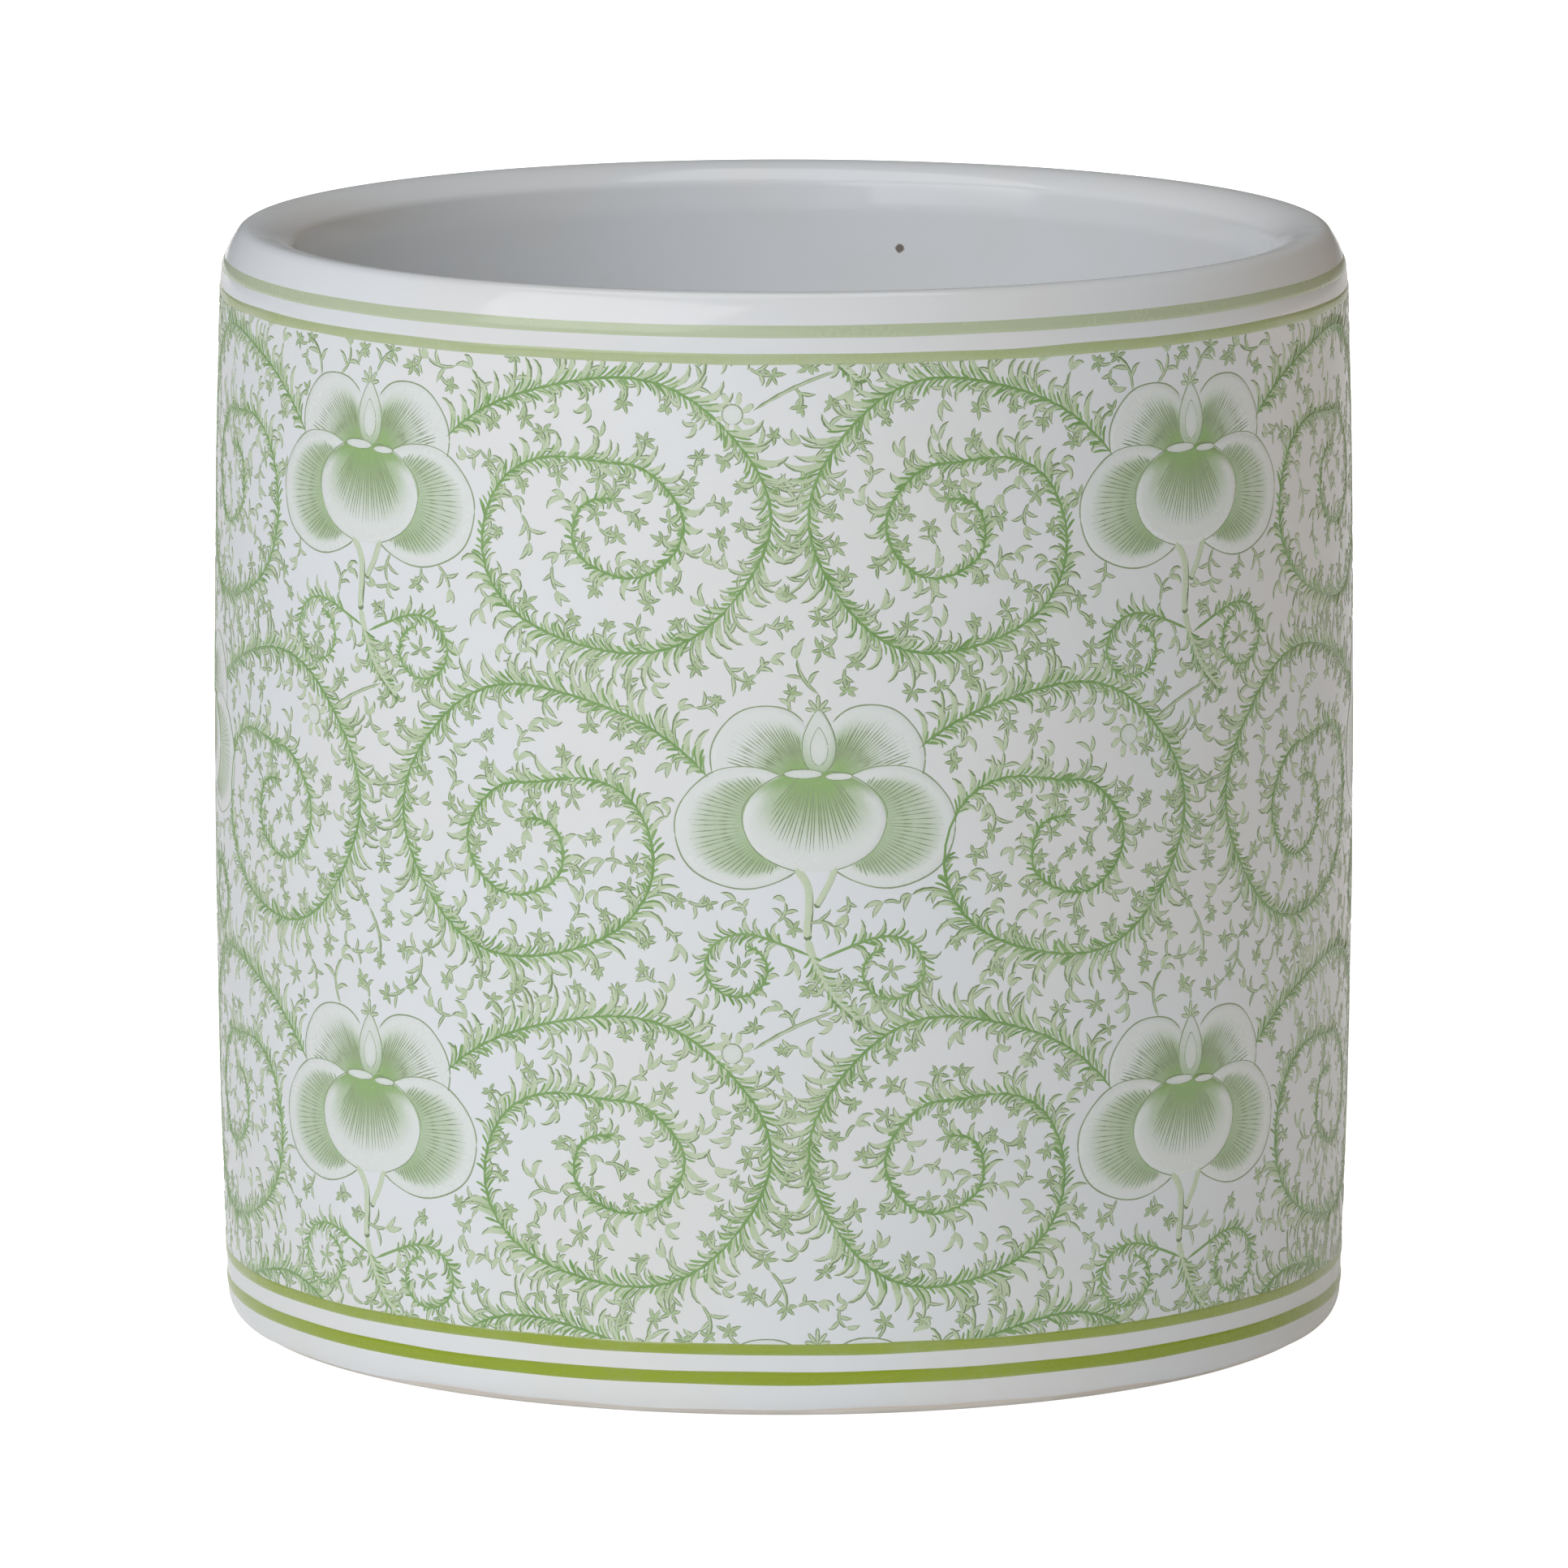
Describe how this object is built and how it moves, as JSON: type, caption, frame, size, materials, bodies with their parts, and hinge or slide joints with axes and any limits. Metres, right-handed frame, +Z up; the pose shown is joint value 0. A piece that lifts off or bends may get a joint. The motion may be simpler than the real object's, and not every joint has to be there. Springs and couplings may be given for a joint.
{
  "type": "brush holder pot",
  "caption": "Cylindrical glazed porcelain brush holder pot, open at the top, with a thick soft lip, a bare foot ring and a green scroll band between ring lines.",
  "frame": {"origin": "centre of the foot, on the surface that the pot stands on", "axes": "+Z up along the pot's axis, from the foot to the mouth; X and Y are level and alike"},
  "size_m": [0.1654, 0.1654, 0.16],
  "materials": {
    "porcelain": "bare fired biscuit, fine and matt",
    "glaze": "white gloss glaze with a faint blue cast",
    "line_enamel": "olive green enamel, fired on the glaze, gloss",
    "scroll_enamel": "leaf green enamel, printed and fired on the glaze, gloss"
  },
  "bodies": {
    "root": {"porcelain_body": "porcelain", "glaze_coat": "glaze", "base_glaze": "glaze", "upper_rim_line": "line_enamel", "lower_rim_line": "line_enamel", "scroll_band": "scroll_enamel", "upper_foot_line": "line_enamel", "lower_foot_line": "line_enamel"}
  },
  "joints": []
}
